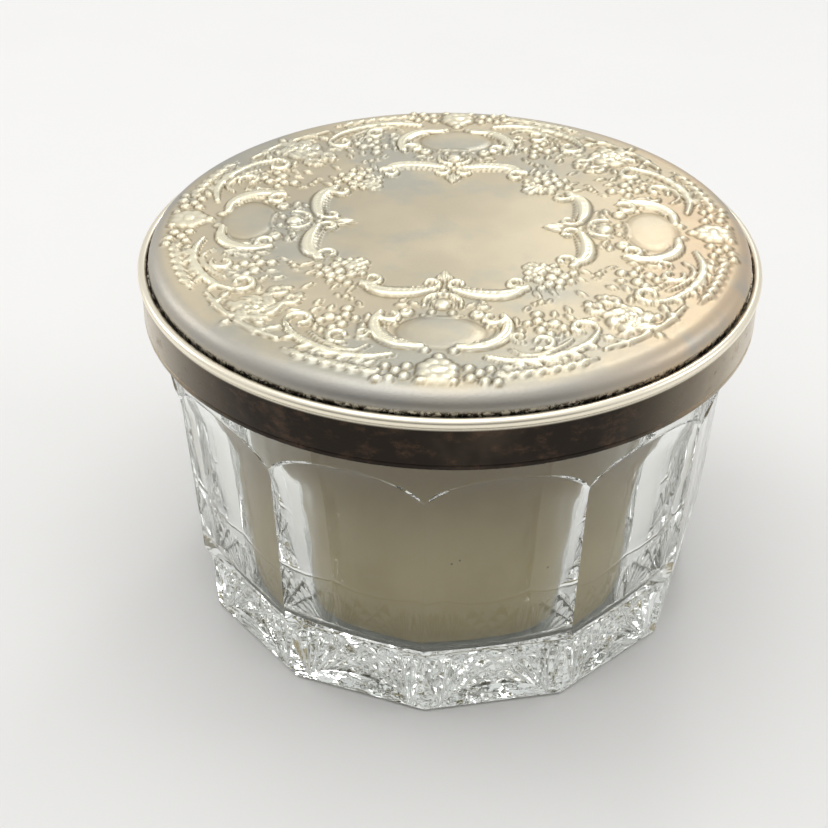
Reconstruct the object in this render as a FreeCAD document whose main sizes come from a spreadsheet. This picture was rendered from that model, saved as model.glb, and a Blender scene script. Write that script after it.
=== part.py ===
import FreeCAD, Part
import math
import os
import Sketcher
from FreeCAD import Placement, Rotation, Vector

# Powder jar: a twelve-sided pressed glass bowl, a plastic powder cup hung in its mouth,
# and a lift-off lid built from a stamped plate, a rolled band, a filler pad and a plastic liner.
# The origin is the middle of the underside and +Z is up. Every driving size is in the sheet.
# One ridge of the glass points along -Y.

SIZES = {
    "panel_count": 12,
    # glass bowl, radii of the round blank that the panels are cut into
    "blank_base_radius": 51.6,
    "blank_rim_radius": 54.3,
    "glass_rim_height": 65.0,
    "mouth_radius": 43.2,
    "cavity_floor_radius": 38.9,
    "cavity_floor_height": 9.6,
    "cavity_corner": 3.0,
    "rim_rounding": 1.3,
    # glass panels, distances of the flat faces from the axis
    "band_base_apothem": 48.4,
    "band_top_apothem": 49.1,
    "ledge_apothem": 50.15,
    "arch_foot_apothem": 51.55,
    "arch_peak_apothem": 54.4,
    "band_height": 15.5,
    "arch_foot_height": 49.0,
    "arch_peak_height": 58.0,
    "arch_runout_radius": 17.5,
    "cutter_reach": 62.0,
    "cutter_width": 44.0,
    "base_chamfer": 0.6,
    # powder cup
    "cup_base_radius": 37.5,
    "cup_mouth_radius": 41.8,
    "cup_wall": 1.4,
    "cup_corner": 3.0,
    "cup_inner_corner": 1.6,
    "cup_flange_radius": 50.0,
    "cup_flange": 1.0,
    # lid band
    "band_foot_height": 61.3,
    "band_outer_radius": 56.75,
    "band_inner_radius": 56.1,
    "bead_outer_radius": 57.1,
    "bead_inner_radius": 55.4,
    "bead_foot_height": 69.1,
    "bead_top_height": 70.95,
    "bead_rounding": 0.75,
    "ledge_inner_radius": 53.4,
    "ledge_top_height": 69.6,
    "ledge_foot_height": 68.8,
    # lid plate
    "plate_radius": 55.3,
    "plate_gauge": 0.7,
    "plate_crown_height": 75.6,
    "plate_shoulder_radius": 51.3,
    "plate_shoulder_height": 74.8,
    "plate_skirt_height": 70.9,
    "shoulder_curve": 4.0,
    # lid liner and filler pad
    "liner_radius": 56.0,
    "liner_skirt_radius": 55.0,
    "liner_foot_height": 62.6,
    "liner_gauge": 1.5,
    "liner_rounding": 0.35,
    "pad_radius": 51.0,
    "pad_height": 5.0,
    "pad_chamfer": 1.2,
}

tolerance = 0.01        # how near an edge has to be to the place it is looked for
leastPanelCut = 0.03    # the panels take away more than this share of the blank

doc = FreeCAD.newDocument("PowderJar")


def makeSheet():
    sheet = doc.addObject("Spreadsheet::Sheet", "Sizes")
    for row, (alias, value) in enumerate(SIZES.items(), start=1):
        sheet.set(f"A{row}", alias)
        sheet.set(f"B{row}", str(value))
        sheet.setAlias(f"B{row}", alias)
    doc.recompute()
    return sheet


sheet = makeSheet()


def bound(expression):
    # writes each alias of an expression as a reference to the sheet
    words = []
    for word in expression.split():
        words.append(f"Sizes.{word}" if word in SIZES else word)
    return " ".join(words)


def valueOf(expression):
    return float(sheet.evalExpression(bound(expression)))


def makeBody(name):
    body = doc.addObject("PartDesign::Body", name)
    body.Label = name
    return body


def originFeature(body, role):
    return next(item for item in body.Origin.OriginFeatures if item.Role == role)


def makeSketch(body, name, turn=0.0):
    # an upright sketch through the axis: its x is the radius and its y is the height
    sketch = body.newObject("Sketcher::SketchObject", name)
    sketch.AttachmentSupport = [(originFeature(body, "XZ_Plane"), "")]
    sketch.MapMode = "FlatFace"
    sketch.AttachmentOffset = Placement(Vector(0, 0, 0), Rotation(Vector(0, 1, 0), turn))
    return sketch


def arcBetween(start, end, radius):
    # the short arc from start to end that bulges to the right of the way from one to the other
    chord = end - start
    middle = (start + end) * 0.5
    side = Vector(chord.y, -chord.x, 0).normalize()
    rise = radius - math.sqrt(radius ** 2 - (chord.Length / 2) ** 2)
    return Part.Arc(start, middle + side * rise, end)


def pinPoint(sketch, line, expressions):
    # ties the start of a line to the sketch's origin, one direction at a time
    for kind, axis, expression in zip(("DistanceX", "DistanceY"), (-2, -1), expressions):
        if expression == "0":
            sketch.addConstraint(Sketcher.Constraint("PointOnObject", line, 1, axis))
            continue
        constraint = Sketcher.Constraint(kind, -1, 1, line, 1, valueOf(expression))
        index = sketch.addConstraint(constraint)
        sketch.setExpression(f"Constraints[{index}]", bound(expression))


def arcRadius(arc, start, end):
    if arc != "domed":
        return valueOf(arc)
    rise = abs(end.y - start.y)
    return (max(start.x, end.x) ** 2 + rise ** 2) / (2 * rise)


def fixArc(sketch, line, arc):
    if arc == "domed":
        sketch.addConstraint(Sketcher.Constraint("PointOnObject", line, 3, -2))
        return
    index = sketch.addConstraint(Sketcher.Constraint("Radius", line, valueOf(arc)))
    sketch.setExpression(f"Constraints[{index}]", bound(arc))


def drawOutline(sketch, corners):
    # corners go counter-clockwise as (radius, height) or (radius, height, arc),
    # where arc is the radius of the arc to the next corner, or "domed" for an arc centred on the axis
    points = [Vector(valueOf(corner[0]), valueOf(corner[1]), 0) for corner in corners]
    for index, corner in enumerate(corners):
        start, end = points[index], points[(index + 1) % len(points)]
        if len(corner) == 3:
            sketch.addGeometry(arcBetween(start, end, arcRadius(corner[2], start, end)), False)
        else:
            sketch.addGeometry(Part.LineSegment(start, end), False)
    for index, corner in enumerate(corners):
        follower = (index + 1) % len(corners)
        sketch.addConstraint(Sketcher.Constraint("Coincident", index, 2, follower, 1))
        pinPoint(sketch, index, corner[:2])
        if len(corner) == 3:
            fixArc(sketch, index, corner[2])


def revolve(body, name, corners):
    sketch = makeSketch(body, name + "Outline")
    drawOutline(sketch, corners)
    solid = body.newObject("PartDesign::Revolution", name)
    solid.Profile = sketch
    solid.ReferenceAxis = (sketch, ["V_Axis"])
    solid.Angle = 360
    doc.recompute()
    return solid


def ringEdges(feature, rings):
    # names of the round edges at the given (radius, height) pairs
    names = []
    for number, edge in enumerate(feature.Shape.Edges, start=1):
        if not isinstance(edge.Curve, Part.Circle):
            continue
        radius, height = edge.Curve.Radius, edge.Curve.Center.z
        for ringRadius, ringHeight in rings:
            besideRing = abs(radius - valueOf(ringRadius)) < tolerance
            atHeight = abs(height - valueOf(ringHeight)) < tolerance
            if besideRing and atHeight:
                names.append(f"Edge{number}")
    return names


def roundRings(body, name, feature, rings, size):
    rounding = body.newObject("PartDesign::Fillet", name)
    rounding.Base = (feature, ringEdges(feature, rings))
    rounding.setExpression("Radius", bound(size))
    doc.recompute()
    return rounding


def lowestStraightEdges(feature):
    names = []
    for number, edge in enumerate(feature.Shape.Edges, start=1):
        flat = edge.BoundBox.ZMax < tolerance
        if flat and isinstance(edge.Curve, Part.Line):
            names.append(f"Edge{number}")
    return names


def makeGlassBowl():
    body = makeBody("glass_bowl")
    blank = revolve(body, "Blank", [
        ("0", "0"),
        ("blank_base_radius", "0"),
        ("blank_rim_radius", "glass_rim_height"),
        ("mouth_radius", "glass_rim_height"),
        ("cavity_floor_radius", "cavity_floor_height"),
        ("0", "cavity_floor_height"),
    ])
    rim = [("blank_rim_radius", "glass_rim_height"), ("mouth_radius", "glass_rim_height")]
    rimmed = roundRings(body, "RimRounding", blank, rim, "rim_rounding")
    floor = [("cavity_floor_radius", "cavity_floor_height")]
    cornered = roundRings(body, "CavityCorner", rimmed, floor, "cavity_corner")

    halfPanel = 180.0 / SIZES["panel_count"]
    cutter = makeSketch(body, "PanelOutline", turn=halfPanel)
    drawOutline(cutter, [
        ("band_base_apothem", "0"),
        ("cutter_reach", "0"),
        ("cutter_reach", "arch_peak_height"),
        ("arch_peak_apothem", "arch_peak_height", "arch_runout_radius"),
        ("arch_foot_apothem", "arch_foot_height"),
        ("ledge_apothem", "band_height"),
        ("band_top_apothem", "band_height"),
    ])
    panel = body.newObject("PartDesign::Pocket", "Panel")
    panel.Profile = cutter
    panel.SideType = "Symmetric"
    panel.setExpression("Length", bound("cutter_width"))
    doc.recompute()
    panels = body.newObject("PartDesign::PolarPattern", "Panels")
    panels.Originals = [panel]
    panels.Axis = (originFeature(body, "Z_Axis"), [""])
    panels.Angle = 360
    panels.setExpression("Occurrences", bound("panel_count"))
    body.Tip = panels
    doc.recompute()
    if panels.Shape.Volume > (1 - leastPanelCut) * cornered.Shape.Volume:
        raise RuntimeError("the panels cut nothing")
    chamfer = body.newObject("PartDesign::Chamfer", "BaseChamfer")
    chamfer.Base = (panels, lowestStraightEdges(panels))
    chamfer.setExpression("Size", bound("base_chamfer"))
    return body


def makePowderCup():
    body = makeBody("powder_cup")
    flangeTop = "glass_rim_height + cup_flange"
    cup = revolve(body, "Cup", [
        ("0", "cavity_floor_height"),
        ("cup_base_radius", "cavity_floor_height"),
        ("cup_mouth_radius", "glass_rim_height"),
        ("cup_flange_radius", "glass_rim_height"),
        ("cup_flange_radius", flangeTop),
        ("cup_mouth_radius - cup_wall", flangeTop),
        ("cup_base_radius - cup_wall", "cavity_floor_height + cup_wall"),
        ("0", "cavity_floor_height + cup_wall"),
    ])
    outer = [("cup_base_radius", "cavity_floor_height")]
    cornered = roundRings(body, "OuterCorner", cup, outer, "cup_corner")
    inner = [("cup_base_radius - cup_wall", "cavity_floor_height + cup_wall")]
    roundRings(body, "InnerCorner", cornered, inner, "cup_inner_corner")
    return body


def makeLidPlate():
    body = makeBody("lid_plate")
    revolve(body, "Plate", [
        ("plate_radius - plate_gauge", "ledge_top_height"),
        ("plate_radius", "ledge_top_height"),
        ("plate_radius", "plate_skirt_height", "shoulder_curve"),
        ("plate_shoulder_radius", "plate_shoulder_height", "domed"),
        ("0", "plate_crown_height"),
        ("0", "plate_crown_height - plate_gauge"),
        ("plate_shoulder_radius", "plate_shoulder_height - plate_gauge"),
        ("plate_radius - plate_gauge", "plate_skirt_height"),
    ])
    return body


def makeLidBand():
    body = makeBody("lid_band")
    band = revolve(body, "Band", [
        ("band_inner_radius", "band_foot_height"),
        ("band_outer_radius", "band_foot_height"),
        ("band_outer_radius", "bead_foot_height"),
        ("bead_outer_radius", "bead_foot_height"),
        ("bead_outer_radius", "bead_top_height"),
        ("bead_inner_radius", "bead_top_height"),
        ("bead_inner_radius", "ledge_top_height"),
        ("ledge_inner_radius", "ledge_top_height"),
        ("ledge_inner_radius", "ledge_foot_height"),
        ("band_inner_radius", "ledge_foot_height"),
    ])
    bead = [("bead_outer_radius", "bead_top_height"), ("bead_inner_radius", "bead_top_height")]
    roundRings(body, "BeadRounding", band, bead, "bead_rounding")
    return body


def makeLidLiner():
    body = makeBody("lid_liner")
    discFoot = "glass_rim_height + cup_flange"
    discTop = discFoot + " + liner_gauge"
    liner = revolve(body, "Liner", [
        ("0", discFoot),
        ("liner_skirt_radius", discFoot),
        ("liner_skirt_radius", "liner_foot_height"),
        ("liner_radius", "liner_foot_height"),
        ("liner_radius", "ledge_foot_height"),
        ("liner_skirt_radius", "ledge_foot_height"),
        ("liner_skirt_radius", discTop),
        ("0", discTop),
    ])
    foot = [("liner_radius", "liner_foot_height"), ("liner_skirt_radius", "liner_foot_height")]
    roundRings(body, "SkirtRounding", liner, foot, "liner_rounding")
    return body


def makeFillerPad():
    # stays a plain disc, since its edge only has to clear the band's ledge
    padFoot = valueOf("glass_rim_height + cup_flange + liner_gauge")
    disc = doc.addObject("Part::Cylinder", "PadDisc")
    disc.setExpression("Radius", bound("pad_radius"))
    disc.setExpression("Height", bound("pad_height"))
    disc.Placement = Placement(Vector(0, 0, padFoot), Rotation())
    doc.recompute()
    pad = doc.addObject("Part::Chamfer", "filler_pad")
    pad.Label = "filler_pad"
    pad.Base = disc
    chamfer = SIZES["pad_chamfer"]
    pad.Edges = [(number, chamfer, chamfer) for number, edge in enumerate(disc.Shape.Edges, start=1)
                 if isinstance(edge.Curve, Part.Circle)]
    return pad


def checkDocument(subParts):
    for item in doc.Objects:
        if "Invalid" in item.State or "Error" in item.State:
            raise RuntimeError(f"{item.Label} failed: {item.State}")
    for item in subParts:
        shape = item.Shape
        if shape.isNull() or not shape.isValid() or len(shape.Solids) != 1:
            raise RuntimeError(f"{item.Label} is not one valid solid")
        box = shape.optimalBoundingBox(False)
        print(f"{item.Label:12s} volume {shape.Volume / 1000:8.2f} cm3",
              f"radius {box.XMax:6.2f} z {box.ZMin:6.2f} to {box.ZMax:6.2f}")


def main():
    subParts = [
        makeGlassBowl(),
        makePowderCup(),
        makeLidPlate(),
        makeLidBand(),
        makeLidLiner(),
        makeFillerPad(),
    ]
    doc.recompute()
    checkDocument(subParts)
    os.makedirs("parts", exist_ok=True)
    for item in subParts:
        item.Shape.exportStep(f"parts/{item.Label}.step")


main()
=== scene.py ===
import math
import bmesh
import bpy
import numpy as np
from mathutils import Matrix, Vector
from mathutils.geometry import delaunay_2d_cdt


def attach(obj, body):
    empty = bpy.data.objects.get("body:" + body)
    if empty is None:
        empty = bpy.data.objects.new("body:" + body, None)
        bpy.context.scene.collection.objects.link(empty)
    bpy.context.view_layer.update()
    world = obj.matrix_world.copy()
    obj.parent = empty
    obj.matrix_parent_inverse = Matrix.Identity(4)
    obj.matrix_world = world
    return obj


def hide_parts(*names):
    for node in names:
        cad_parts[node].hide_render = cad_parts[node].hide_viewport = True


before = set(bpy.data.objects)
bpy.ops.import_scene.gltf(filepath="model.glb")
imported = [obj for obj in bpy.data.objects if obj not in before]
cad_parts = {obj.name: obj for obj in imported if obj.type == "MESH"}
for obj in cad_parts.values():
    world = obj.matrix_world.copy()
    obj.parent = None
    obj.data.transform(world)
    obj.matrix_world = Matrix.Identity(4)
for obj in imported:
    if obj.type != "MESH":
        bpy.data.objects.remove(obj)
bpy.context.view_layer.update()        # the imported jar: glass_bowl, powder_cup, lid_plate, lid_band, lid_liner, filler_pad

mm = 0.001


class Wire:  # an output socket that can be used in arithmetic
    def __init__(self, finish, socket):
        self.finish = finish
        self.socket = socket

    def combine(self, operation, *others, swap=False):
        values = [self, *others]
        if swap:
            values.reverse()
        return self.finish.add("Math", {"operation": operation}, dict(enumerate(values)))

    def __add__(self, other):
        return self.combine("ADD", other)

    def __sub__(self, other):
        return self.combine("SUBTRACT", other)

    def __mul__(self, other):
        return self.combine("MULTIPLY", other)

    def __radd__(self, other):
        return self.combine("ADD", other)

    def __rsub__(self, other):
        return self.combine("SUBTRACT", other, swap=True)

    def __rmul__(self, other):
        return self.combine("MULTIPLY", other)


class Finish:  # one material and its nodes
    def __init__(self, name):
        self.material = bpy.data.materials.new(name)
        self.material.use_nodes = True
        self.tree = self.material.node_tree
        self.tree.nodes.clear()

    def add(self, kind, settings, sockets, output=0):
        node = self.tree.nodes.new("ShaderNode" + kind)
        for key, value in settings.items():
            if key == "stops":
                self.setStops(node.color_ramp, value)
            else:
                setattr(node, key, value)
        for key, value in sockets.items():
            if isinstance(value, Wire):
                self.tree.links.new(value.socket, node.inputs[key])
            else:
                node.inputs[key].default_value = value
        return Wire(self, node.outputs[output]) if node.outputs else None

    def setStops(self, ramp, stops):
        while len(ramp.elements) < len(stops):
            ramp.elements.new(0.5)
        for element, (place, shade) in zip(ramp.elements, stops):
            element.position = place
            element.color = (*shade, 1) if isinstance(shade, tuple) else (shade, shade, shade, 1)

    def place(self):  # the object's own coordinates, in millimetres
        coordinates = self.add("TexCoord", {}, {}, "Object")
        return self.add("VectorMath", {"operation": "SCALE"}, {0: coordinates, "Scale": 1000.0})

    def stretch(self, point, scale):
        return self.add("VectorMath", {"operation": "MULTIPLY"}, {0: point, 1: scale})

    def along(self, point, axis):
        return self.add("SeparateXYZ", {}, {0: point}, axis)

    def radius(self, point):  # how far the point is from the jar's axis
        return self.add("VectorMath", {"operation": "LENGTH"}, {0: self.stretch(point, (1, 1, 0))}, "Value")

    def marked(self, name):  # a value that the mesh carries at its points
        return self.add("Attribute", {"attribute_name": name}, {}, "Fac")

    def noise(self, point, scale, detail=3.0, roughness=0.5):
        sockets = {"Vector": point, "Scale": scale, "Detail": detail, "Roughness": roughness}
        return self.add("TexNoise", {}, sockets)

    def cells(self, point, scale):
        return self.add("TexVoronoi", {}, {"Vector": point, "Scale": scale}, "Distance")

    def ramp(self, value, low, high):  # 0 below low and 1 above high
        sockets = {"Value": value, "From Min": low, "From Max": high}
        return self.add("MapRange", {"interpolation_type": "SMOOTHSTEP"}, sockets)

    def mix(self, factor, first, second):
        colours = [(*shade, 1) if isinstance(shade, tuple) else shade for shade in (first, second)]
        sockets = {"Factor": factor, 6: colours[0], 7: colours[1]}
        return self.add("Mix", {"data_type": "RGBA"}, sockets, 2)

    def bump(self, height, distance, strength=1.0):
        return self.add("Bump", {}, {"Height": height, "Distance": distance, "Strength": strength})

    def surface(self, sockets):
        shader = self.add("BsdfPrincipled", {}, sockets)
        self.add("OutputMaterial", {}, {"Surface": shader})
        return self.material


def makeObject(name, points, faces, material, sharpAngle=30.0):  # points in millimetres
    mesh = bpy.data.meshes.new(name)
    mesh.from_pydata([tuple(point) for point in np.asarray(points) * mm], [], faces)
    mesh.polygons.foreach_set("use_smooth", [True] * len(mesh.polygons))
    mesh.set_sharp_from_angle(angle=math.radians(sharpAngle))
    mesh.materials.append(material)
    piece = bpy.data.objects.new(name, mesh)
    bpy.context.scene.collection.objects.link(piece)
    return piece


def gridFaces(rows, columns, start=0):  # rows of a closed ring of columns, facing outwards as rows rise
    faces = []
    for row in range(rows - 1):
        low = start + row * columns
        high = low + columns
        for column in range(columns):
            beside = (column + 1) % columns
            faces.append((low + column, low + beside, high + beside, high + column))
    return faces


def spin(profile, columns):  # a closed outline of (radius, height) turned about the axis
    angles = np.arange(columns) * 2 * math.pi / columns
    points = []
    for radius, height in profile:
        ring = np.stack([radius * np.cos(angles), radius * np.sin(angles), np.full(columns, height)], -1)
        points.append(ring)
    return np.concatenate(points)


def arcPoints(centre, radius, start, end, count):  # angles in degrees
    angles = np.radians(np.linspace(start, end, count))
    return [(centre[0] + radius * math.cos(a), centre[1] + radius * math.sin(a)) for a in angles]


def clearGlass():
    finish = Finish("clearGlass")
    place = finish.place()
    ripple = finish.noise(finish.stretch(place, (1.0, 1.0, 0.35)), 0.12, 2.0)
    smear = finish.ramp(finish.noise(place, 0.35, 4.0), 0.56, 0.74)
    cut = finish.marked("cut")
    rise = finish.along(place, "Z")
    foot = finish.ramp(rise * -1.0, -16.2, -14.8)
    clear = finish.add("BsdfPrincipled", {}, {
        "Base Color": finish.mix(foot, (0.935, 0.955, 0.93), (0.84, 0.87, 0.835)),
        "Roughness": smear * 0.035,
        "IOR": 1.52,
        "Transmission Weight": 1.0,
        "Normal": finish.bump(ripple, 0.0006, 0.35),
    })
    frosted = finish.add("BsdfPrincipled", {}, {
        "Base Color": (0.93, 0.95, 0.92, 1),
        "Roughness": 0.3,
    })
    both = finish.add("MixShader", {}, {"Fac": cut * 0.8, 1: clear, 2: frosted})
    finish.add("OutputMaterial", {}, {"Surface": both})
    return finish.material


cup = {
    "lean": 0.0778,                # how much the wall widens for each millimetre of height
    "wall": (35.9, 36.3),          # between the wall's inside and its outside, carried down to height 0
    "flange": (64.4, 64.9),        # where the painted shade on the outside ends below the flange
    "lidShadow": (22.0, 60.0),         # painted shadow of the lid band: the outside darkens over these heights
}


def creamPlastic():
    finish = Finish("creamPlastic")
    place = finish.place()
    cloud = finish.noise(place, 0.045, 3.0)
    streak = finish.noise(finish.stretch(place, (1.0, 1.0, 0.08)), 0.25, 3.0)
    rise = finish.along(place, "Z")
    # painted shade: the outside wall gets a darker, deeper copy of the cream, which stays as it is inside and
    # on the flange
    shade = finish.mix(finish.ramp(cloud, 0.35, 0.65), (0.54, 0.42, 0.19), (0.62, 0.50, 0.25))
    shade = finish.mix(finish.ramp(streak, 0.55, 0.75) * 0.3, shade, (0.64, 0.52, 0.26))
    # painted shadow of the lid band: the outside darkens towards its top
    shade = finish.mix(finish.ramp(rise, *cup["lidShadow"]) * 0.9, shade, (0.19, 0.12, 0.03))
    radius = finish.radius(place)
    wall = radius - rise * cup["lean"]  # the same all the way up the sloping wall
    outside = finish.ramp(wall, *cup["wall"]) * (1 - finish.ramp(rise, *cup["flange"]))
    cream = finish.mix(finish.ramp(cloud, 0.35, 0.65), (0.66, 0.58, 0.42), (0.72, 0.65, 0.50))
    shade = finish.mix(outside, cream, shade)
    speck = 1 - finish.ramp(finish.cells(place, 0.16), 0.03, 0.05)
    shade = finish.mix(speck * 0.8, shade, (0.07, 0.06, 0.05))
    return finish.surface({
        "Base Color": shade,
        "Roughness": 0.42 + cloud * 0.12,
        "Specular IOR Level": 0.18,
        "Normal": finish.bump(streak, 0.0002, 0.4),
    })


def linerPlastic():
    finish = Finish("linerPlastic")
    place = finish.place()
    cloud = finish.noise(place, 0.06, 4.0)
    rings = (finish.radius(place) * 9.0).combine("SINE")
    return finish.surface({
        "Base Color": finish.mix(finish.ramp(cloud, 0.35, 0.7), (0.72, 0.69, 0.60), (0.60, 0.56, 0.46)),
        "Roughness": 0.38 + cloud * 0.15,
        "Normal": finish.bump(rings, 0.00004, 0.5),
    })


def padBoard():
    finish = Finish("padBoard")
    place = finish.place()
    fibre = finish.noise(finish.stretch(place, (1.0, 0.3, 1.0)), 1.6, 5.0)
    return finish.surface({
        "Base Color": finish.mix(fibre, (0.30, 0.23, 0.15), (0.50, 0.41, 0.29)),
        "Roughness": 0.85 + fibre * 0.1,
        "Normal": finish.bump(fibre, 0.0004, 0.6),
    })


def plateSilver():
    finish = Finish("plateSilver")
    place = finish.place()
    relief = finish.marked("relief")
    hollow = finish.marked("hollow")
    cloud = finish.noise(place, 0.035, 3.0, 0.55)
    patch = finish.noise(finish.stretch(place, (0.9, 1.0, 1.0)), 0.055, 4.0, 0.6)
    grain = finish.noise(place, 2.2, 4.0, 0.65)
    radius = finish.radius(place)
    shade = finish.mix(finish.ramp(cloud, 0.35, 0.68), (0.57, 0.505, 0.37), (0.68, 0.60, 0.44))
    shade = finish.mix(finish.ramp(patch, 0.46, 0.66) * 0.6, shade, (0.40, 0.42, 0.39))
    shade = finish.mix(finish.ramp(radius, 51.5, 54.0) * 0.75, shade, (0.40, 0.385, 0.36))
    side = finish.ramp(finish.along(place, "X"), 18.0, 50.0) * finish.ramp(patch, 0.35, 0.55)
    shade = finish.mix(side * 0.6, shade, (0.72, 0.53, 0.33))
    shade = finish.mix(hollow * 0.9, shade, (0.20, 0.16, 0.09))
    # painted highlight: the raised relief turns a warm near white
    shade = finish.mix(finish.ramp(relief, 0.25, 0.9), shade, (1.0, 0.94, 0.72))
    rise = finish.along(place, "Z")
    crust = finish.noise(place, 0.8, 5.0, 0.75)
    grime = finish.ramp(crust, 0.44, 0.54) * finish.ramp((rise + crust * 1.6) * -1.0, -72.4, -71.8)
    shade = finish.mix(grime, shade, (0.03, 0.025, 0.02))
    rough = 0.34 + cloud * 0.16 + finish.ramp(grain, 0.45, 0.75) * 0.08 - relief * 0.17
    return finish.surface({
        "Base Color": shade,
        "Metallic": 1.0,
        "Roughness": rough,
        "Normal": finish.bump(grain, 0.00012, 0.25),
    })


def bandSilver():
    finish = Finish("bandSilver")
    place = finish.place()
    rise = finish.along(place, "Z")
    # the -Y side of the band, which the painted reflection below darkens
    front = finish.ramp(finish.along(place, "Y") * -1.0, 14.0, 50.0)
    cloud = finish.noise(place, 0.05, 4.0, 0.6)
    blotch = finish.noise(finish.stretch(place, (1.0, 1.0, 1.6)), 0.22, 6.0, 0.7)
    scratch = finish.noise(finish.stretch(place, (0.5, 0.5, 6.0)), 1.2, 4.0, 0.7)
    # painted reflection: on its -Y side the band goes nearly black, as if mirroring dark surroundings
    wall = finish.mix(front, (0.64, 0.54, 0.38), (0.026, 0.021, 0.017))
    wall = finish.mix(finish.ramp(cloud, 0.45, 0.7) * 0.3, wall, (0.12, 0.092, 0.068))
    wall = finish.mix(finish.ramp(blotch, 0.48, 0.78) * 0.4, wall, (0.17, 0.10, 0.065))
    hem = finish.ramp(rise * -1.0, -63.0, -61.9) * finish.ramp(blotch, 0.45, 0.6) * (1 - front)
    wall = finish.mix(hem * 0.7, wall, (0.50, 0.38, 0.23))
    # painted highlight: the bead along the band's top is brightened to a pale champagne
    bead = finish.ramp(rise, 68.7, 69.3)
    shade = finish.mix(bead, wall, (0.93, 0.86, 0.70))
    radius = finish.radius(place)
    crust = finish.noise(place, 0.9, 5.0, 0.75)
    grime = finish.ramp(radius * -1.0, -55.75, -55.35) * finish.ramp(crust, 0.42, 0.52)
    shade = finish.mix(grime, shade, (0.03, 0.025, 0.02))
    return finish.surface({
        "Base Color": shade,
        "Metallic": 1.0,
        "Roughness": 0.20 + finish.ramp(blotch, 0.5, 0.8) * 0.3 * (1 - bead) + hem * 0.2 + bead * 0.08,
        "Normal": finish.bump(scratch * (1 - bead), 0.00008, 0.35),
    })


def paleFloor():
    finish = Finish("paleFloor")
    mottle = finish.noise(finish.place(), 0.02, 3.0)
    return finish.surface({
        "Base Color": finish.mix(mottle, (0.79, 0.785, 0.77), (0.82, 0.815, 0.80)),
        "Roughness": 0.7,
        "Specular IOR Level": 0.2,
    })


glass = {
    "panels": 12,
    "blankBase": 51.6, "blankRim": 54.3, "rimHeight": 65.0,          # the round blank
    "bandTop": 15.5, "bandBase": 48.4, "bandUpper": 49.1,            # the cut band at the foot
    "ledge": 50.15, "archFoot": 51.55, "archFootHeight": 49.0,       # the tall panels
    "archPeak": 54.4, "archPeakHeight": 58.0, "runOut": 17.5,
    "archFrom": 45.0,                # below every point of the arch
    "hollow": 0.22,                  # how far a panel dips across
    "mouth": 43.2, "floor": 9.45, "floorRadius": 38.9, "corner": 3.0,   # clear of the cup by a hair
    "rimCentre": 63.65, "rimRound": 1.3,                             # the rim's two rounded edges
    "archStep": 0.20, "archLine": 0.30,                              # recess and raised line at a panel's top
    "chamfer": 0.6, "ledgeRise": 0.4,
    "columns": 36,                   # steps across a panel, above the band and along its edges
    "cutInside": 46.0,               # no ground edge is nearer the axis than this
    "sharpAngle": 22.0,
}

fan = {
    "half": 13.0,            # half a panel's width, which the fans are laid out in
    "peak": (3.1, 14.9),     # where the long cuts end
    "dip": 12.3,             # height at which the two long cuts cross
    "edge": 12.9,            # height of the fan's outline on the ridge
    "lens": 4.7,             # height of the plain lens between the feet
    "first": 33.0, "last": 103.0, "rays": 6,
    "slope": 0.075, "deepest": 0.7, "step": 0.35,
}
fan["node"] = fan["half"] * 14 / 18                  # from the middle of the panel to each fan's foot
fan["period"] = (fan["last"] - fan["first"]) / fan["rays"]


def panelApothem(height):
    g = glass
    tall = g["archFootHeight"] - g["bandTop"]
    straight = g["ledge"] + (g["archFoot"] - g["ledge"]) * (height - g["bandTop"]) / tall
    if height <= g["archFootHeight"]:
        return straight
    start = Vector((g["archFoot"], g["archFootHeight"]))
    end = Vector((g["archPeak"], g["archPeakHeight"]))
    chord = end - start
    middle = (start + end) / 2
    inward = Vector((chord.y, -chord.x)).normalized()
    reach = math.sqrt(g["runOut"] ** 2 - (chord.length / 2) ** 2)
    centre = middle + inward * reach
    return centre.x - math.sqrt(g["runOut"] ** 2 - (height - centre.y) ** 2)


def blankRadius(height):
    return glass["blankBase"] + (glass["blankRim"] - glass["blankBase"]) * height / glass["rimHeight"]


def archHeight(turn):  # where the panel runs out into the round collar, for an angle from the panel's middle
    low, high = glass["archFrom"], glass["archPeakHeight"]
    for _ in range(40):
        middle = (low + high) / 2
        if panelApothem(middle) / math.cos(turn) < blankRadius(middle):
            low = middle
        else:
            high = middle
    return low


def fanOutline(across):  # top of the cut fans above each point across the panel
    peakAcross, peakHeight = fan["peak"]
    x = abs(across)
    if x < peakAcross:
        return fan["dip"] + (peakHeight - fan["dip"]) * x / peakAcross
    share = (x - peakAcross) / (fan["half"] - peakAcross)
    return peakHeight + (fan["edge"] - peakHeight) * share ** 0.8


def lensTop(across):
    share = 1 - (across / fan["node"]) ** 2
    return glass["chamfer"] + fan["lens"] * math.sqrt(share) if share > 0 else 0.0


def rayDepth(across, height, side):  # one fan of V cuts from the foot on the given side
    dx = (across + side * fan["node"]) * side
    dy = height - glass["chamfer"]
    reach = math.hypot(dx, dy)
    angle = math.degrees(math.atan2(dy, dx))
    period = fan["period"]
    if angle < fan["first"] - period / 2 or angle > fan["last"] + period / 2:
        return 0.0
    phase = (angle - fan["first"]) / period
    wave = 1 - 2 * abs(phase - round(phase))
    return min(fan["slope"] * reach, fan["deepest"]) * wave


def cutDepth(across, height):
    if height <= lensTop(across) + 1e-6 or height >= fanOutline(across):
        return 0.0
    depth = max(rayDepth(across, height, 1), rayDepth(across, height, -1))
    inside = min(1.0, (fanOutline(across) - height) / fan["step"])
    return depth * inside


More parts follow.
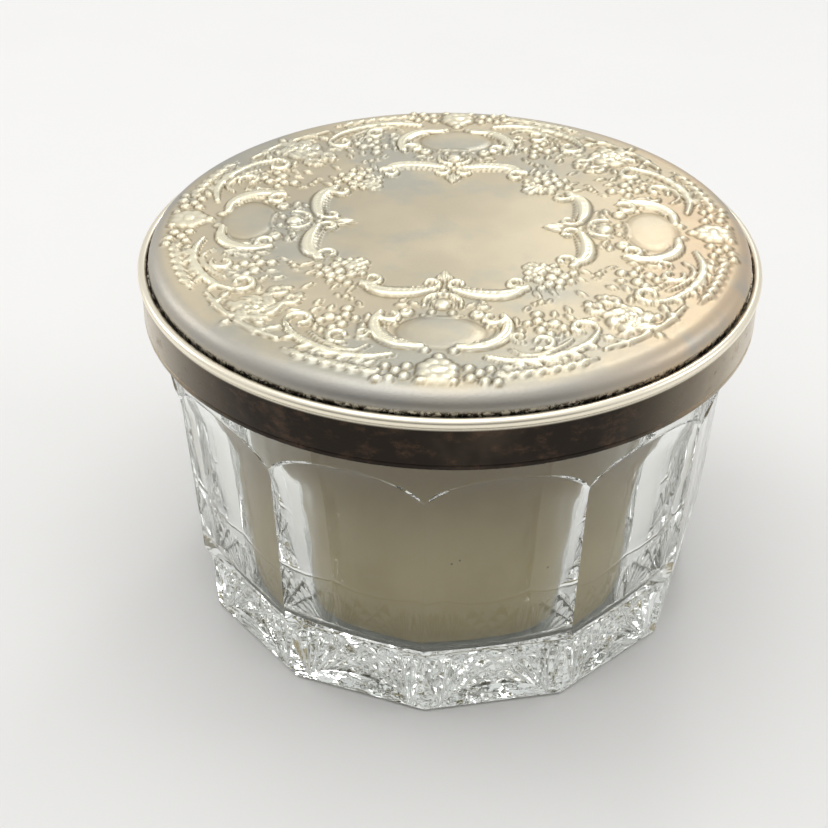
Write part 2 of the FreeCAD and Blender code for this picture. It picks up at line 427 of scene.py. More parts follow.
def bandPattern():  # one panel's cut band as triangles, with its corners as (across, height)
    half = fan["half"]
    low, high = glass["chamfer"], glass["bandTop"]
    points, edges = [], []

    def line(path, closed=False):
        first = len(points)
        points.extend(path)
        count = len(path)
        edges.extend((first + i, first + i + 1) for i in range(count - 1))
        if closed:
            edges.append((first + count - 1, first))

    columns = glass["columns"]
    bottom = [(-half + 2 * half * i / columns, low) for i in range(columns + 1)]
    top = [(half - 2 * half * i / columns, high) for i in range(columns + 1)]
    rise = 14
    right = [(half, low + (high - low) * i / rise) for i in range(1, rise)]
    left = [(-half, high - (high - low) * i / rise) for i in range(1, rise)]
    line(bottom + right + top + left, closed=True)
    arcSteps = np.linspace(-math.pi / 2, math.pi / 2, 33)
    line([(fan["node"] * math.sin(a), low + fan["lens"] * math.cos(a)) for a in arcSteps])
    across = np.linspace(-half, half, 53)
    for drop in (0.0, fan["step"]):
        line([(x, fanOutline(x) - drop) for x in across])
    for side in (1, -1):
        for ray in range(2 * fan["rays"] + 3):
            angle = math.radians(fan["first"] + fan["period"] * (ray - 1) / 2)
            start = Vector((-side * fan["node"], low))
            way = Vector((math.cos(angle) * side, math.sin(angle)))
            path = []
            for reach in np.linspace(0.0, 18.5, 30):
                point = start + way * reach
                if abs(point.x) > half or point.y > fanOutline(point.x):
                    break
                path.append((point.x, point.y))
            if len(path) > 1:
                line(path)
    rows, margin = 36, 0.4
    for row in range(1, rows):
        height = low + (high - low) * row / rows
        points.extend((x, height) for x in np.linspace(-half + margin, half - margin, 61))
    result = delaunay_2d_cdt([Vector(point) for point in points], edges, [], 1, 1e-4)
    return [tuple(vert) for vert in result[0]], [tuple(face) for face in result[2]]


def panelRows(turns, halfTurn):  # ledge, tall panel, arch and collar, as rows of (radius, height)
    g = glass
    tops = [archHeight(turn) for turn in turns]
    rows = [[(g["bandUpper"] / math.cos(t), g["bandTop"]) for t in turns]]
    for share in (0.35, 0.75, 1.0):
        apothem = g["bandUpper"] + (g["ledge"] - g["bandUpper"]) * share
        rows.append([(apothem / math.cos(t), g["bandTop"] + g["ledgeRise"] * share ** 2) for t in turns])
    foot = g["bandTop"] + g["ledgeRise"]
    for share in [*np.linspace(0.03, 0.8, 9), *np.linspace(0.84, 0.992, 9), 1.0]:
        row = []
        for turn, top in zip(turns, tops):
            height = foot + (top - foot) * share
            across = math.tan(turn) / math.tan(halfTurn)
            fade = min(1.0, (1 - share) * 8, share * 12)
            dip = g["hollow"] * (1 - across ** 2) * fade
            if 0.9 < share < 1:
                dip += g["archStep"] * min(1.0, (share - 0.9) / 0.06) * min(1.0, (1 - abs(across)) * 7)
            if 0.985 < share < 1:
                dip -= (g["archStep"] + g["archLine"]) * min(1.0, (1 - abs(across)) * 12)
            row.append(((panelApothem(height) - dip) / math.cos(turn), height))
        rows.append(row)
    for share in (0.03, 0.35, 0.7, 1.0):
        heights = [top + (g["rimCentre"] - top) * share for top in tops]
        rows.append([(blankRadius(height), height) for height in heights])
    return rows


def rimAndCavity():  # the outline from the rim's outer edge to the middle of the floor
    g = glass
    outline = arcPoints((g["blankRim"] - g["rimRound"], g["rimCentre"]), g["rimRound"], 12, 90, 6)
    outline += arcPoints((g["mouth"] + g["rimRound"], g["rimCentre"]), g["rimRound"], 90, 180, 6)
    low = g["floor"] + g["corner"]
    lean, drop = g["floorRadius"] - g["mouth"], low - g["rimCentre"]
    outline += [(g["mouth"] + lean * t, g["rimCentre"] + drop * t) for t in np.linspace(0, 1, 14)[1:]]
    outline += arcPoints((g["floorRadius"] - g["corner"], low), g["corner"], 0, -90, 9)[1:]
    outline += [(radius, g["floor"]) for radius in (30.0, 18.0, 6.0)]
    return outline


def makeGlassBowl(material):
    g = glass
    points, faces = [], []
    halfTurn = math.pi / g["panels"]

    def ringPoint(radius, turn, height):
        return (radius * math.cos(turn), radius * math.sin(turn), height)

    verts, triangles = bandPattern()
    for panel in range(g["panels"]):
        middle = halfTurn * (2 * panel + 1)
        start = len(points)
        for across, height in verts:
            turn = math.atan(across / fan["half"] * math.tan(halfTurn))
            share = height / g["bandTop"]
            apothem = g["bandBase"] + (g["bandUpper"] - g["bandBase"]) * share - cutDepth(across, height)
            points.append(ringPoint(apothem / math.cos(turn), middle + turn, height))
        faces.extend(tuple(start + corner for corner in face) for face in triangles)

    # the rows above the band, then rim and cavity
    columns = g["columns"]
    turns = [math.atan((-1 + 2 * i / columns) * math.tan(halfTurn)) for i in range(columns)]
    rows = panelRows(turns, halfTurn)
    for radius, height in rimAndCavity():
        rows.append([(radius, height)] * columns)
    start = len(points)
    for row in rows:
        for panel in range(g["panels"]):
            middle = halfTurn * (2 * panel + 1)
            for turn, (radius, height) in zip(turns, row):
                points.append(ringPoint(radius, middle + turn, height))
    around = columns * g["panels"]
    faces.extend(gridFaces(len(rows), around, start))
    last = start + (len(rows) - 1) * around
    faces.append(tuple(last + i for i in range(around)))

    # chamfer and underside
    start = len(points)
    footApothem = g["bandBase"] + (g["bandUpper"] - g["bandBase"]) * g["chamfer"] / g["bandTop"]
    for apothem, height in ((footApothem, g["chamfer"]), (g["bandBase"] - g["chamfer"], 0.0)):
        for panel in range(g["panels"]):
            middle = halfTurn * (2 * panel + 1)
            for turn in turns:
                points.append(ringPoint(apothem / math.cos(turn), middle + turn, height))
    faces.extend(tuple(reversed(face)) for face in gridFaces(2, around, start))
    faces.append(tuple(start + around + i for i in reversed(range(around))))
    piece = makeObject("glassBowl", points, faces, material)
    weldAndFace(piece)
    markCuts(piece)
    return piece


def cutEdge(across, height):  # 1 on the ground edge of a cut and 0 away from it
    if height <= lensTop(across) + 1e-6 or height >= fanOutline(across) + 0.05:
        return 0.0
    depths = [rayDepth(across, height, side) for side in (1, -1)]
    side = (1, -1)[depths.index(max(depths))]
    dx = (across + side * fan["node"]) * side
    angle = math.degrees(math.atan2(height - glass["chamfer"], dx))
    phase = (angle - fan["first"]) / fan["period"] * 2
    near = 1 - min(1.0, abs(phase - round(phase)) / 0.12)
    return near if max(depths) > 0 or near > 0.9 else 0.0


def markCuts(piece):  # writes where the ground edges lie, for the finish to use
    halfTurn = math.pi / glass["panels"]
    marks = np.zeros(len(piece.data.vertices), np.float32)
    for vertex in piece.data.vertices:
        x, y, height = vertex.co / mm
        if height > glass["bandTop"] or height < glass["chamfer"] or math.hypot(x, y) < glass["cutInside"]:
            continue
        turn = math.atan2(y, x) % (2 * halfTurn) - halfTurn
        marks[vertex.index] = cutEdge(math.tan(turn) / math.tan(halfTurn) * fan["half"], height)
    attribute = piece.data.attributes.new("cut", "FLOAT", "POINT")
    attribute.data.foreach_set("value", marks)
    print("cut edges marked", int((marks > 0.5).sum()))


def weldAndFace(piece):  # joins the seams and turns every face outwards
    work = bmesh.new()
    work.from_mesh(piece.data)
    bmesh.ops.remove_doubles(work, verts=work.verts, dist=0.00001)
    bmesh.ops.dissolve_degenerate(work, edges=work.edges, dist=0.000002)
    bmesh.ops.recalc_face_normals(work, faces=work.faces)
    loose = sum(1 for edge in work.edges if len(edge.link_faces) != 2)
    print(piece.name, "faces", len(work.faces), "open edges", loose)
    work.to_mesh(piece.data)
    work.free()
    piece.data.set_sharp_from_angle(angle=math.radians(glass["sharpAngle"]))


plate = {
    "rings": 100, "columns": 760,
    "crown": 74.72, "shoulderRadius": 51.3, "shoulderHeight": 74.25,
    "edgeRadius": 55.1, "skirtHeight": 70.7, "footHeight": 69.65,
    "gauge": 0.6,
    "turn": 1.8,             # how far the lid happens to be turned on the jar, in degrees
    "relief": 1.0,
    "centre": 0.6,                              # radius of the smallest ring
    "underSkirt": 70.4, "underRadius": 50.6, "underEdge": 73.4, "underCrown": 74.0,   # its underside
    "fadeFrom": 53.2, "fadeOver": 1.2,          # the relief dies away at the edge
    "fullRelief": 0.85,                         # height at which the painted highlight on the relief is brightest
    "sharpAngle": 70.0,
}


class Relief:  # heights and hollows stamped into the plate, on a cloud of points
    def __init__(self, x, y):
        self.x = x
        self.y = y
        self.height = np.zeros_like(x)
        self.hollow = np.zeros_like(x)
        self.turn = 0.0
        self.flip = 1

    def toPlate(self, point):
        x, y = point[0] * self.flip, point[1]
        c, s = math.cos(self.turn), math.sin(self.turn)
        return c * x - s * y, s * x + c * y

    def near(self, point, reach):
        return np.nonzero((abs(self.x - point[0]) < reach) & (abs(self.y - point[1]) < reach))[0]

    def raiseTo(self, index, height):
        self.height[index] = np.maximum(self.height[index], height)

    def sink(self, index, amount):
        self.hollow[index] = np.maximum(self.hollow[index], amount)

    def bead(self, point, radius, height, ring=False):
        centre = self.toPlate(point)
        index = self.near(centre, radius * 1.6)
        distance = np.hypot(self.x[index] - centre[0], self.y[index] - centre[1]) / radius
        dome = height * np.sqrt(np.clip(1 - distance ** 2, 0, 1))
        if ring:
            dome = dome - height * 0.5 * np.clip(1 - (distance / 0.42) ** 2, 0, 1)
        self.raiseTo(index, dome)
        self.sink(index, np.clip(1 - abs(distance - 1.08) / 0.3, 0, 1))

    def leaf(self, point, angle, length, width, height):  # pointed, with a rib along it
        centre = self.toPlate(point)
        tip = self.toPlate(offset(point, 1.0, angle))
        wayX, wayY = tip[0] - centre[0], tip[1] - centre[1]
        index = self.near(centre, length * 0.75)
        dx, dy = self.x[index] - centre[0], self.y[index] - centre[1]
        along = (dx * wayX + dy * wayY) / (length / 2)
        across = abs(dy * wayX - dx * wayY) / (width / 2)
        half = np.clip(1 - along ** 2, 0, 1) * (1 - 0.35 * along)
        inside = np.where(half > 0.001, across / np.maximum(half, 0.001), 9)
        swell = height * np.sqrt(np.clip(1 - inside ** 2, 0, 1)) * (0.75 + 0.25 * np.clip(half, 0, 1))
        rib = 1 - 0.35 * np.clip(1 - across / 0.22, 0, 1) * (inside < 1)
        self.raiseTo(index, swell * rib)
        self.sink(index, 0.8 * np.clip(1 - abs(inside - 1.15) / 0.4, 0, 1) * (abs(along) < 1.05))

    def stroke(self, path, width, height, groove=0.0):  # a rounded ridge that swells in the middle
        knots = [self.toPlate(point) for point in smoothPath(path)]
        count = len(knots) - 1
        best = np.full(self.x.shape, 9.0)
        touched = []
        for i in range(count):
            (ax, ay), (bx, by) = knots[i], knots[i + 1]
            reach = width + math.hypot(bx - ax, by - ay)
            index = self.near(((ax + bx) / 2, (ay + by) / 2), reach)
            if len(index) == 0:
                continue
            dx, dy = bx - ax, by - ay
            share = ((self.x[index] - ax) * dx + (self.y[index] - ay) * dy) / (dx * dx + dy * dy)
            share = np.clip(share, 0, 1)
            distance = np.hypot(self.x[index] - ax - share * dx, self.y[index] - ay - share * dy)
            place = (i + share) / count
            half = width / 2 * (0.42 + 0.58 * np.sin(math.pi * np.clip(place * 0.92 + 0.04, 0, 1)) ** 0.8)
            best[index] = np.minimum(best[index], distance / half)
            touched.append(index)
        index = np.unique(np.concatenate(touched))
        inside = best[index]
        ridge = height * np.sqrt(np.clip(1 - inside ** 2, 0, 1))
        if groove:
            ridge = ridge * (1 - groove * np.clip(1 - abs(inside - 0.12) / 0.26, 0, 1))
        self.raiseTo(index, ridge)
        self.sink(index, np.clip(1 - abs(inside - 1.15) / 0.35, 0, 1))

    def flower(self, point, radius, height, petals=5, spin=0.0):
        for i in range(petals):
            petal = offset(point, radius * 0.60, spin + 360.0 * i / petals)
            self.bead(petal, radius * 0.42, height * 0.85)
        self.bead(point, radius * 0.30, height * 1.05, ring=True)

    def rose(self, point, radius, height):
        for i in range(6):
            angle = 60.0 * i + 20
            petal = offset(point, radius * 0.66, angle)
            self.leaf(petal, angle + 62, radius * 0.95, radius * 0.55, height * 0.8)
        for i in range(4):
            angle = 90.0 * i
            petal = offset(point, radius * 0.30, angle)
            self.leaf(petal, angle + 70, radius * 0.62, radius * 0.34, height)
        self.bead(point, radius * 0.17, height * 1.05)

    def medallion(self, point, across, along, height):  # a smooth raised oval
        centre = self.toPlate(point)
        index = self.near(centre, max(across, along) * 1.3)
        wayX, wayY = math.cos(self.turn), math.sin(self.turn)
        dx, dy = self.x[index] - centre[0], self.y[index] - centre[1]
        u = (dx * wayX + dy * wayY) / across
        v = (dy * wayX - dx * wayY) / along
        distance = np.hypot(u, v)
        swell = height * (1 - np.clip((distance - 0.72) / 0.3, 0, 1) ** 2) * (1 - 0.25 * distance ** 2)
        self.raiseTo(index, np.clip(swell, 0, None) * (distance < 1.02))
        self.sink(index, 0.6 * np.clip(1 - abs(distance - 1.02) / 0.08, 0, 1))


def offset(centre, reach, angle):  # the point that far away, at an angle in degrees
    turn = math.radians(angle)
    return centre[0] + reach * math.cos(turn), centre[1] + reach * math.sin(turn)


def smoothPath(path, steps=5):  # a curve through the given points
    knots = [np.array(point, float) for point in path]
    knots = [2 * knots[0] - knots[1]] + knots + [2 * knots[-1] - knots[-2]]
    curve = []
    for i in range(1, len(knots) - 2):
        before, start, end, after = knots[i - 1:i + 3]
        for step in range(steps):
            t = step / steps
            curve.append(0.5 * (2 * start + (end - before) * t
                                + (2 * before - 5 * start + 4 * end - after) * t ** 2
                                + (3 * start - before - 3 * end + after) * t ** 3))
    curve.append(knots[-2])
    return [tuple(point) for point in curve]


def curl(centre, radius, start, sweep, turns=14):  # a spiral that winds in from start
    path = []
    for i in range(turns + 1):
        share = i / turns
        path.append(offset(centre, radius * (1 - 0.62 * share), start + sweep * share))
    return path


def stampCartouche(relief):  # the frame of the plain field in the middle, one half of one quarter
    relief.stroke([(-13.2, 22.4), (-11.9, 24.1), (-9.2, 25.0), (-5.4, 24.9), (-2.2, 24.0)], 2.7, 0.78, 0.25)
    relief.stroke([(-11.6, 22.9), (-8.8, 23.5), (-5.2, 23.3), (-3.4, 22.9)], 0.7, 0.42)
    relief.stroke(curl((-12.5, 20.9), 2.0, 150, -300), 1.15, 0.72)
    relief.stroke([(-14.3, 21.8), (-14.0, 22.6), (-13.0, 23.3)], 1.3, 0.7)
    relief.stroke([(-2.6, 24.2), (-1.1, 23.1), (-1.0, 21.7), (-2.0, 20.9), (-3.1, 21.4), (-3.0, 22.3)],
                  1.1, 0.75)
    relief.leaf((-0.95, 19.8), 104, 3.0, 1.2, 0.55)
    relief.leaf((-1.6, 26.3), 60, 2.2, 1.0, 0.45)
    relief.stroke([(-3.1, 29.4), (-3.0, 27.4), (-1.9, 25.9), (0.0, 25.3)], 1.0, 0.7)
    relief.stroke([(-1.9, 29.3), (-1.6, 27.8), (0.0, 27.0)], 0.6, 0.5)
    relief.bead((-1.7, 31.0), 0.75, 0.5)
    relief.bead((-5.9, 31.4), 1.3, 0.7, ring=True)
    relief.leaf((-4.8, 28.4), 35, 2.8, 1.1, 0.5)
    relief.leaf((-6.8, 29.0), 10, 3.0, 1.2, 0.55)
    relief.leaf((-6.6, 27.3), -35, 2.0, 0.9, 0.45)


def stampCluster(relief):  # berries and flowers on the diagonal of the frame, one half of one quarter
    relief.flower((-15.4, 16.6), 1.9, 0.7, petals=5, spin=20)
    relief.leaf((-14.1, 14.8), 245, 2.6, 1.3, 0.55)
    for row, (x, y, size) in enumerate([(-16.2, 19.2, 1.05), (-18.3, 18.3, 1.0), (-17.9, 20.6, 1.05),
                                        (-19.8, 19.8, 1.05), (-14.4, 18.9, 0.8), (-19.6, 21.7, 0.75),
                                        (-16.6, 22.2, 0.85)]):
        relief.bead((x, y), size, 0.68, ring=row % 2 == 0)
    relief.leaf((-15.9, 24.3), 118, 3.2, 1.1, 0.5)
    relief.leaf((-18.6, 23.4), 125, 2.6, 1.0, 0.45)
    relief.bead((-16.5, 26.6), 0.7, 0.45)
    relief.bead((-15.4, 27.3), 0.55, 0.4)
    relief.leaf((-17.9, 26.2), 60, 1.9, 0.8, 0.4)


def stampMedallion(relief):  # the scrolls round a medallion, one half of one quarter
    relief.stroke(curl((-8.4, 32.6), 2.1, -150, -290), 1.35, 0.8)
    relief.stroke([(-10.2, 31.6), (-11.0, 34.2), (-10.6, 37.3), (-8.8, 39.9), (-6.2, 41.3), (-3.0, 41.5)],
                  2.3, 0.82, 0.3)
    relief.stroke([(-9.2, 35.2), (-9.2, 37.2), (-7.9, 39.0), (-5.6, 40.2)], 0.75, 0.5)
    relief.bead((-2.3, 42.4), 0.9, 0.55)
    relief.bead((-7.6, 35.0), 0.6, 0.45)
    relief.leaf((-12.3, 33.0), 100, 2.6, 1.1, 0.5)
    relief.leaf((-12.8, 35.6), 80, 2.2, 1.0, 0.45)
    relief.stroke([(-3.6, 31.9), (-2.0, 32.5), (0.0, 32.7)], 0.7, 0.4)


def stampScrolls(relief):  # the leafy scrolls between medallion and rose, one half of one quarter
    spine = [(-7.6, 44.2), (-11.6, 45.0), (-16.0, 44.4), (-20.4, 42.2), (-24.0, 39.0), (-25.6, 35.8)]
    relief.stroke(spine, 1.7, 0.82, 0.3)
    relief.stroke(curl((-23.2, 34.8), 2.6, 160, 290), 1.25, 0.8)
    relief.stroke([(-11.4, 41.6), (-13.6, 43.2), (-16.6, 42.6), (-19.4, 40.4), (-21.4, 38.0)], 1.1, 0.6, 0.3)
    relief.stroke(curl((-16.4, 39.2), 2.3, 60, 300), 1.2, 0.75)
    relief.stroke(curl((-12.9, 38.0), 1.5, 120, -280), 0.9, 0.6)
    for i in range(6):  # lobes on the outer side of the scroll
        share = i / 5
        x = -12.6 - 14.8 * share
        y = 46.3 - 9.2 * share ** 1.5
        relief.leaf((x, y), 128 + 34 * share, 3.3, 1.5, 0.62)
    for i in range(4):  # and smaller ones on its inner side
        share = i / 3
        relief.leaf((-18.6 - 3.0 * share, 38.0 - 3.0 * share), 250 + 14 * i, 2.3, 1.0, 0.5)
    relief.leaf((-29.6, 38.2), 150, 3.2, 1.5, 0.6)
    relief.leaf((-30.0, 35.8), 178, 2.6, 1.2, 0.55)


def stampSpray(relief):  # leaf spray and berries in the plain field, one half of one quarter
    for x, y, angle, length in [(-22.6, 33.0, 165, 3.4), (-21.0, 31.0, 140, 2.8), (-20.9, 28.6, 112, 2.6),
                                (-24.6, 31.6, 185, 3.0), (-18.6, 30.2, 95, 2.4)]:
        relief.leaf((x, y), angle + 180, length, 1.15, 0.55)
    for x, y, size in [(-15.8, 30.6, 1.05), (-15.9, 32.6, 0.95), (-18.6, 33.2, 1.15), (-16.3, 35.4, 1.0),
                       (-17.8, 36.6, 0.9), (-20.0, 34.4, 0.9), (-14.2, 33.6, 0.8), (-17.0, 33.9, 0.8)]:
        relief.bead((x, y), size, 0.62)
    relief.leaf((-14.0, 29.0), 60, 2.2, 0.9, 0.45)
    relief.leaf((-13.2, 36.2), 250, 2.6, 1.0, 0.45)


def stampRose(relief):  # the rose on the diagonal with its leaves, one half of one quarter
    for x, y, angle, length in [(-26.0, 29.2, 188, 4.0), (-27.6, 26.2, 160, 3.4), (-33.4, 35.2, 60, 3.4),
                                (-30.2, 34.8, 85, 2.8), (-24.6, 27.2, 195, 2.6)]:
        relief.leaf((x, y), angle, length, 1.5, 0.6)
    relief.bead((-28.6, 24.6), 0.9, 0.5)
    relief.bead((-26.4, 24.4), 0.75, 0.45)
    relief.bead((-30.0, 27.2), 0.9, 0.55)
    relief.stroke([(-34.0, 35.2), (-31.6, 37.1), (-29.2, 38.7), (-26.4, 40.4)], 1.3, 0.6, 0.3)


def stampGarland(relief):  # flowers, berries and leaves along the edge, one half of one quarter
    for x, y, size in [(-4.9, 47.2, 0.95), (-6.6, 48.4, 0.95), (-8.3, 47.3, 0.85), (-9.9, 48.7, 1.05),
                       (-5.2, 49.9, 1.0), (-7.5, 50.6, 1.0), (-9.5, 50.7, 0.9), (-2.6, 51.0, 0.9)]:
        relief.bead((x, y), size, 0.62, ring=size > 1.0)
    for i in range(6):
        x = -11.8 - 2.2 * i
        radius = 49.6
        y = math.sqrt(radius ** 2 - x ** 2)
        tilt = math.degrees(math.atan2(x, y))
        relief.leaf((x, y + 0.4), 208 - tilt, 3.7, 1.6, 0.62)
        relief.leaf((x + 0.8, y - 1.5), 142 - tilt, 3.1, 1.3, 0.55)
    relief.stroke([(-25.2, 43.2), (-21.0, 45.4), (-16.4, 47.2), (-11.4, 48.4)], 0.9, 0.5)


def stampAxis(relief):  # what stands on a medallion's own axis, once in each quarter
    relief.leaf((0.0, 19.4), 90, 4.6, 1.7, 0.68)
    relief.bead((0.0, 28.6), 1.5, 0.72)
    relief.medallion((0.0, 37.0), 7.2, 4.9, 0.34)
    relief.flower((0.0, 48.2), 3.5, 0.7, petals=8, spin=22)
    relief.medallion((0.0, 48.2), 1.5, 1.1, 0.78)
    relief.bead((0.0, 44.4), 1.0, 0.6)
    relief.bead((0.0, 24.0), 0.7, 0.5)


def stampDiagonal(relief):  # what stands on the diagonal, once in each quarter
    relief.rose((-31.2, 31.2), 4.6, 0.78)
    relief.bead((-18.6, 18.6), 0.9, 0.6)
    relief.leaf((-23.4, 23.4), 135, 3.0, 1.1, 0.5)
    relief.leaf((-35.6, 35.6), 135, 2.2, 1.4, 0.6)


def makeLidPlate(material):
    p = plate
    columns = p["columns"]
    radii = [*np.linspace(p["centre"], 15.5, 8), *np.linspace(16.5, p["shoulderRadius"], p["rings"])]
    fall = p["crown"] - p["shoulderHeight"]
    heights = [p["crown"] - fall * (r / p["shoulderRadius"]) ** 2 for r in radii]
    topRings = len(radii)
    drop = p["shoulderHeight"] - p["skirtHeight"]
    depth = p["edgeRadius"] - p["shoulderRadius"]
    for angle in np.linspace(90, 0, 11)[1:]:
        a = math.radians(angle)
        radii.append(p["shoulderRadius"] + depth * math.cos(a) ** 0.95)
        heights.append(p["skirtHeight"] + drop * math.sin(a) ** 0.95)
    inside = p["edgeRadius"] - p["gauge"]
    radii += [p["edgeRadius"], inside, inside, p["underRadius"], p["centre"]]
    heights += [p["footHeight"], p["footHeight"], p["underSkirt"], p["underEdge"], p["underCrown"]]
    angles = np.arange(columns) * 2 * math.pi / columns
    radius = np.repeat(radii, columns)
    height = np.repeat(heights, columns)
    angle = np.tile(angles, len(radii))
    x, y = radius * np.cos(angle), radius * np.sin(angle)
    count = (topRings + 4) * columns
    relief = Relief(x[:count], y[:count])
    for quarter in range(4):
        relief.turn = math.radians(p["turn"] + 90.0 * quarter)
        relief.flip = 1
        stampAxis(relief)
        stampDiagonal(relief)
        for flip in (1, -1):
            relief.flip = flip
            for stamp in (stampCartouche, stampCluster, stampMedallion, stampScrolls, stampSpray,
                          stampRose, stampGarland):
                stamp(relief)
    fade = np.clip((p["fadeFrom"] - radius[:count]) / p["fadeOver"], 0, 1)
    lift = relief.height * fade * p["relief"]
    height[:count] += lift
    points = np.stack([x, y, height], -1)
    faces = [tuple(reversed(face)) for face in gridFaces(len(radii), columns)]
    faces.append(tuple(range(columns)))
    last = (len(radii) - 1) * columns
    faces.append(tuple(last + i for i in reversed(range(columns))))
    piece = makeObject("lidPlate", points, faces, material, p["sharpAngle"])
    raised = np.zeros(len(points))
    raised[:count] = lift / p["fullRelief"]
    hollow = np.zeros(len(points))
    hollow[:count] = relief.hollow * (1 - np.clip(relief.height / 0.3, 0, 1))
    for name, values in (("relief", raised), ("hollow", hollow)):
        attribute = piece.data.attributes.new(name, "FLOAT", "POINT")
        attribute.data.foreach_set("value", np.clip(values, 0, 1).astype(np.float32))
    print("lidPlate faces", len(faces))
    return piece


band = {
    "columns": 400,
    "foot": 61.3, "inner": 56.15, "wall": 56.72, "hem": 0.05, "hemHeight": 0.8,
    "beadCentre": (56.2, 69.98), "beadRadius": 0.89,
    "ledge": 53.5, "ledgeTop": 69.6, "ledgeFoot": 68.8,      # what the plate sits on
    "hemRound": 0.2,
    "sharpAngle": 50.0,
}


def makeLidBand(material):
    b = band
    hemOuter = b["wall"] + b["hem"]
    soft = b["hemRound"]
    profile = [(b["inner"], b["foot"] + soft), (b["inner"] + 0.12, b["foot"]), (hemOuter - soft, b["foot"])]
    profile += arcPoints((hemOuter - soft, b["foot"] + soft), soft, -60, 0, 4)
    profile += [(hemOuter, b["foot"] + b["hemHeight"] - soft)]
    profile += arcPoints((hemOuter - soft, b["foot"] + b["hemHeight"] - soft / 2), soft, 20, 75, 4)
    profile += [(b["wall"], b["foot"] + b["hemHeight"] + 0.15)]
    profile += [(b["wall"], height) for height in np.linspace(63.0, 68.6, 8)]
    profile += [(b["wall"] - 0.03, 68.9), (b["wall"] - 0.02, 69.15)]
    profile += arcPoints(b["beadCentre"], b["beadRadius"], -48, 165, 24)
    profile += [(55.36, 69.75), (b["ledge"], b["ledgeTop"]), (b["ledge"], b["ledgeFoot"])]
    profile += [(b["inner"], b["ledgeFoot"])]
    profile += [(b["inner"], height) for height in (67.0, 64.5, 62.0)]
    points = spin(profile, b["columns"])
    count = len(profile)
    faces = gridFaces(count, b["columns"])
    last = (count - 1) * b["columns"]
    for column in range(b["columns"]):
        beside = (column + 1) % b["columns"]
        faces.append((last + column, last + beside, beside, column))
    return makeObject("lidBand", points, faces, material, b["sharpAngle"])


studio = {
    "floorSize": 6.0, "floorDrop": 0.00015,
    "sky": (0.86, 0.86, 0.86), "horizon": (0.70, 0.70, 0.71), "front": (0.22, 0.215, 0.21),
    "above": {"size": 0.8, "power": 2.2, "place": (-0.05, -0.02, 0.9)},
    "left": {"size": 0.35, "power": 0.9, "place": (-0.75, 0.25, 0.45)},
    "right": {"size": 0.3, "power": 0.5, "place": (0.7, 0.1, 0.45)},
    "back": {"size": 0.22, "power": 0.9, "place": (0.18, 0.8, 0.8)},
    "bounces": 28,           # light crosses the cut foot many times before it leaves
}

lens = {
    "focal": 62.53, "distance": 287.4, "elevation": 34.74, "aim": 34.35,
    "side": 3.5,              # how far the camera stands round from the ridge at the front
    "pan": 1.277, "tilt": -0.354, "roll": 0.98,
}


def makeFloor(material):
    size = studio["floorSize"]
    mesh = bpy.data.meshes.new("floor")
    level = -studio["floorDrop"]
    corners = [(-size, -size, level), (size, -size, level), (size, size, level), (-size, size, level)]
    mesh.from_pydata(corners, [], [(0, 1, 2, 3)])
    mesh.materials.append(material)
    floor = bpy.data.objects.new("floor", mesh)
    bpy.context.scene.collection.objects.link(floor)


def makeWorld():  # a pale room, dimmer towards its dark front wall
    room = Finish("room")
    world = bpy.data.worlds.new("studio")
    bpy.context.scene.world = world
    world.use_nodes = True
    room.tree = world.node_tree
    room.tree.nodes.clear()
    way = room.add("TexCoord", {}, {}, "Generated")
    rise = room.along(way, "Z")
    ahead = room.along(way, "Y")
    shade = room.mix(room.ramp(rise, 0.1, 0.8), studio["horizon"], studio["sky"])
    front = room.ramp(ahead * -1.0, 0.35, 0.8) * (1 - room.ramp(rise, 0.35, 0.7))
    shade = room.mix(front, shade, studio["front"])
    background = room.add("Background", {}, {"Color": shade, "Strength": 1.0})
    room.add("OutputWorld", {}, {"Surface": background})
    bpy.data.materials.remove(room.material)


def makeLight(name):
    facts = studio[name]
    light = bpy.data.lights.new(name, "AREA")
    light.shape = "DISK"
    light.size = facts["size"]
    light.energy = facts["power"]
    lamp = bpy.data.objects.new(name, light)
    lamp.location = facts["place"]
    aim = Vector((0, 0, 0.04)) - lamp.location
    lamp.rotation_euler = aim.to_track_quat("-Z", "Y").to_euler()
    bpy.context.scene.collection.objects.link(lamp)


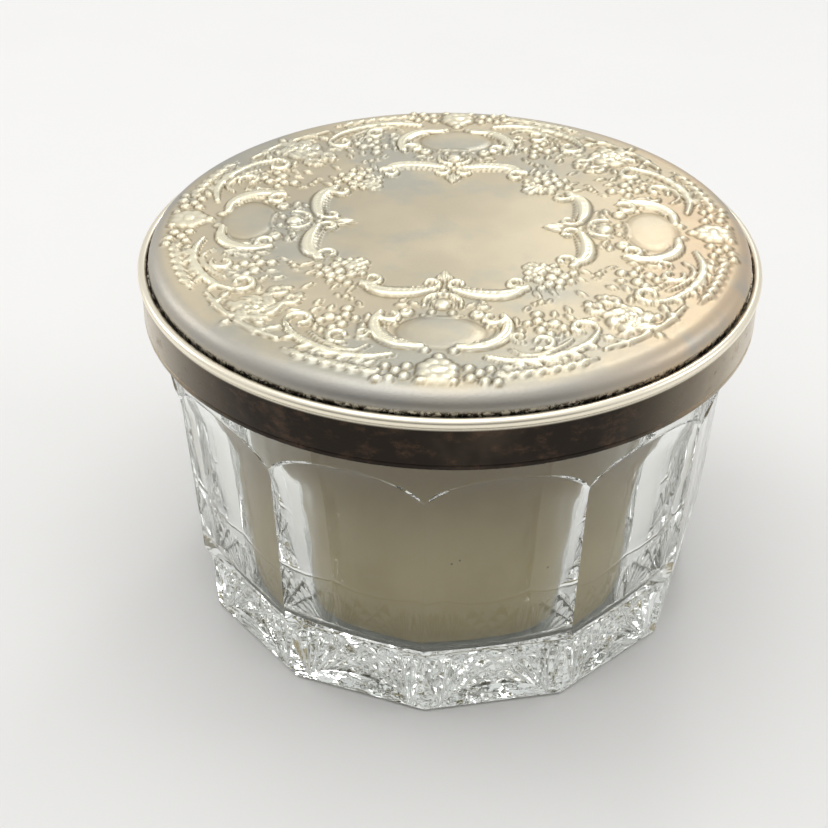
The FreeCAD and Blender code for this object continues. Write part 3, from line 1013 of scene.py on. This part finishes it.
def letLightThrough():  # with few bounces the thick foot of the glass turns black
    paths = bpy.context.scene.cycles
    paths.max_bounces = studio["bounces"]
    paths.transmission_bounces = studio["bounces"]
    paths.glossy_bounces = studio["bounces"]


def makeCamera():
    camera = bpy.data.cameras.new("camera")
    camera.lens = lens["focal"]
    camera.sensor_width = 36
    camera.clip_start = 0.01
    elevation = math.radians(lens["elevation"])
    back = Vector((0, -math.cos(elevation), math.sin(elevation)))
    right = Vector((1, 0, 0))
    up = back.cross(right)
    turn = Matrix.Rotation(math.radians(lens["side"]), 3, "Z")
    axes = Matrix((right, up, back)).transposed()
    aimed = Matrix.Rotation(math.radians(lens["pan"]), 3, "Y")
    aimed = aimed @ Matrix.Rotation(math.radians(lens["tilt"]), 3, "X")
    aimed = aimed @ Matrix.Rotation(math.radians(lens["roll"]), 3, "Z")
    place = turn @ (Vector((0, 0, lens["aim"])) + back * lens["distance"]) * mm
    holder = bpy.data.objects.new("camera", camera)
    holder.matrix_world = Matrix.Translation(place) @ (turn @ axes @ aimed).to_4x4()
    bpy.context.scene.collection.objects.link(holder)
    bpy.context.scene.camera = holder


def dress(node, material):  # gives a carried-over node its finish
    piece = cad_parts[node]
    piece.data.materials.clear()
    piece.data.materials.append(material)


def main():
    silver, bandFinish = plateSilver(), bandSilver()
    print("metal finishes made")
    bowl = makeGlassBowl(clearGlass())
    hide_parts("glass_bowl")
    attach(bowl, "jar")
    print("glass bowl placed")
    top = makeLidPlate(silver)
    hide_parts("lid_plate")
    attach(top, "lid")
    print("lid plate placed")
    rim = makeLidBand(bandFinish)
    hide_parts("lid_band")
    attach(rim, "lid")
    print("lid band placed")
    dress("powder_cup", creamPlastic())
    dress("lid_liner", linerPlastic())
    dress("filler_pad", padBoard())
    print("cup, liner and pad dressed")
    makeFloor(paleFloor())
    makeWorld()
    for name in ("above", "left", "right", "back"):
        makeLight(name)
    makeCamera()
    letLightThrough()
    print("floor, lights and camera placed")
    bpy.context.scene.view_settings.view_transform = "Standard"


main()
